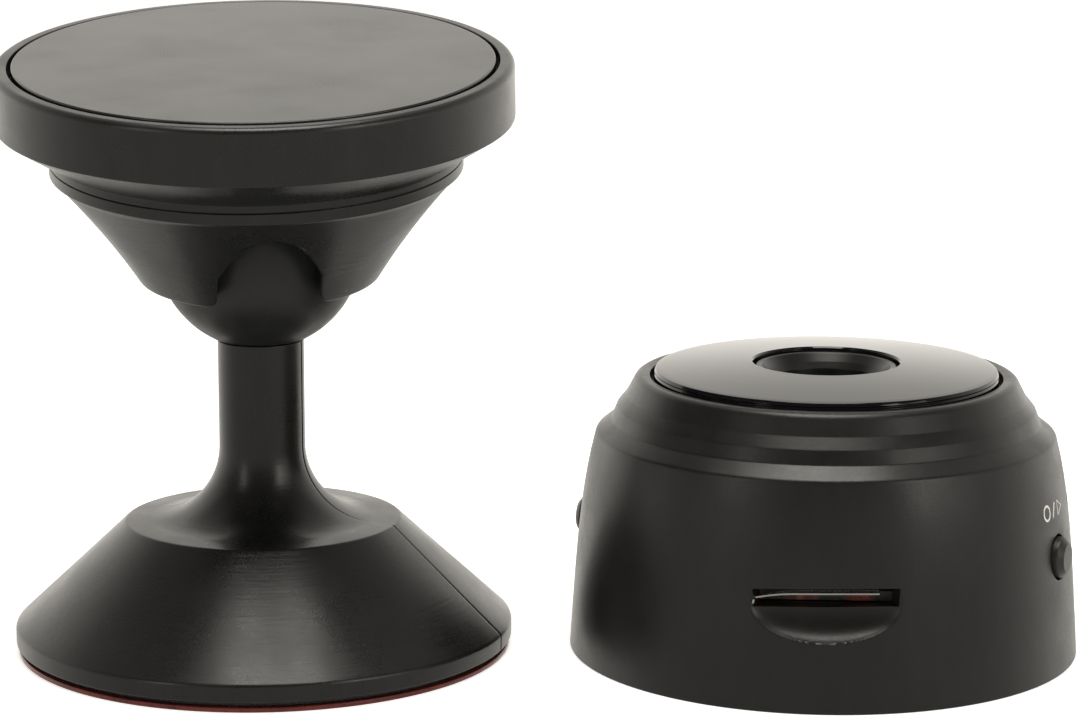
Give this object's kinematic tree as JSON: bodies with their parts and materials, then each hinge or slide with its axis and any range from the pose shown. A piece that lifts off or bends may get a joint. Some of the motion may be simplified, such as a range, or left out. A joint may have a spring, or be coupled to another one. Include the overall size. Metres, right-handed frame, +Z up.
{
  "type": "dash camera",
  "caption": "Round miniature lens-up camera with stepped housing, card slot and side buttons, beside its magnetic ball-joint stand on an adhesive foot.",
  "frame": {"origin": "centre of the stand's underside, on the surface that both pieces stand on", "axes": "+Z up along the stand's post and the camera's lens axis; +X from the stand to the camera; -Y is the front, where the card slot and the head's notch face"},
  "size_m": [0.0914, 0.0452, 0.0535],
  "materials": {
    "stand_black": "satin moulded black",
    "camera_black": "fine matt moulded black",
    "ball_black": "satin moulded black, lightly scuffed",
    "button_black": "satin moulded black",
    "cover_satin": "smooth satin black",
    "panel_gloss": "high gloss dark filter plastic",
    "lens_black": "matt black",
    "lens_glass": "coated glass",
    "pad_foam": "foam",
    "liner_red": "glossy red film",
    "magnet_metal": "nickel plated magnet",
    "plated_steel": "plated",
    "circuit_board": "dark red solder mask",
    "chip_black": "moulded",
    "insulator": "moulded",
    "led_resin": "clear resin",
    "cell_foil": "foil pouch",
    "antenna_copper": "bare copper",
    "wire_red": "insulated",
    "wire_black": "insulated"
  },
  "bodies": {
    "stand": {"stand_base": "stand_black", "adhesive_pad": "pad_foam", "pad_liner": "liner_red"},
    "ball_swivel": {"ball": "ball_black"},
    "magnet_head": {"head_shell": "stand_black", "ball_seat_pad": "pad_foam", "keeper_plate": "plated_steel", "head_magnet": "magnet_metal", "head_cover_disc": "cover_satin"},
    "camera": {"back_cover": "camera_black", "back_magnet_1": "magnet_metal", "back_magnet_2": "magnet_metal", "battery_cell": "cell_foil", "battery_lead_negative": "wire_black", "battery_lead_positive": "wire_red", "battery_tape": "pad_foam", "card_socket_body": "insulator", "card_socket_shell": "plated_steel", "case_screw_1": "plated_steel", "case_screw_2": "plated_steel", "case_screw_3": "plated_steel", "case_screw_4": "plated_steel", "charger_chip": "chip_black", "front_panel": "panel_gloss", "housing_shell": "camera_black", "image_sensor": "chip_black", "ir_board_ribbon": "insulator", "ir_led_1": "led_resin", "ir_led_2": "led_resin", "ir_led_3": "led_resin", "ir_led_4": "led_resin", "ir_led_5": "led_resin", "ir_led_6": "led_resin", "ir_led_board": "circuit_board", "lens_barrel": "lens_black", "lens_front_element": "lens_glass", "lens_holder": "insulator", "lens_rear_element": "lens_glass", "light_sensor": "lens_glass", "main_board": "circuit_board", "microphone": "plated_steel", "mode_switch": "insulator", "power_switch": "insulator", "processor_chip": "chip_black", "reset_switch": "insulator", "status_led": "led_resin", "usb_shell": "plated_steel", "usb_tongue": "insulator", "wifi_antenna": "antenna_copper", "wifi_chip": "chip_black"},
    "mode_key": {"mode_button": "button_black"},
    "power_key": {"power_button": "button_black"}
  },
  "joints": [
    {"name": "ball_turn", "type": "hinge", "parent": "stand", "child": "ball_swivel", "pos_m": [0, 0, 0.0346], "axis": [0, 0, 1], "continuous": true},
    {"name": "head_tilt", "type": "hinge", "parent": "ball_swivel", "child": "magnet_head", "pos_m": [0, 0, 0.0346], "axis": [0.9885, 0.1513, 0], "range_deg": [-55, 82]},
    {"name": "camera_lift", "type": "slide", "parent": "stand", "child": "camera", "axis": [0, 0, 1], "range_m": [0, 0.06]},
    {"name": "mode_press", "type": "slide", "parent": "camera", "child": "mode_key", "axis": [-0.8988, 0.4384, 0], "range_m": [0, 0.0004], "stiffness_N_per_m": 800, "springref_m": -0.0002},
    {"name": "power_press", "type": "slide", "parent": "camera", "child": "power_key", "axis": [0.9563, -0.2924, 0], "range_m": [0, 0.0004], "stiffness_N_per_m": 800, "springref_m": -0.0002}
  ]
}
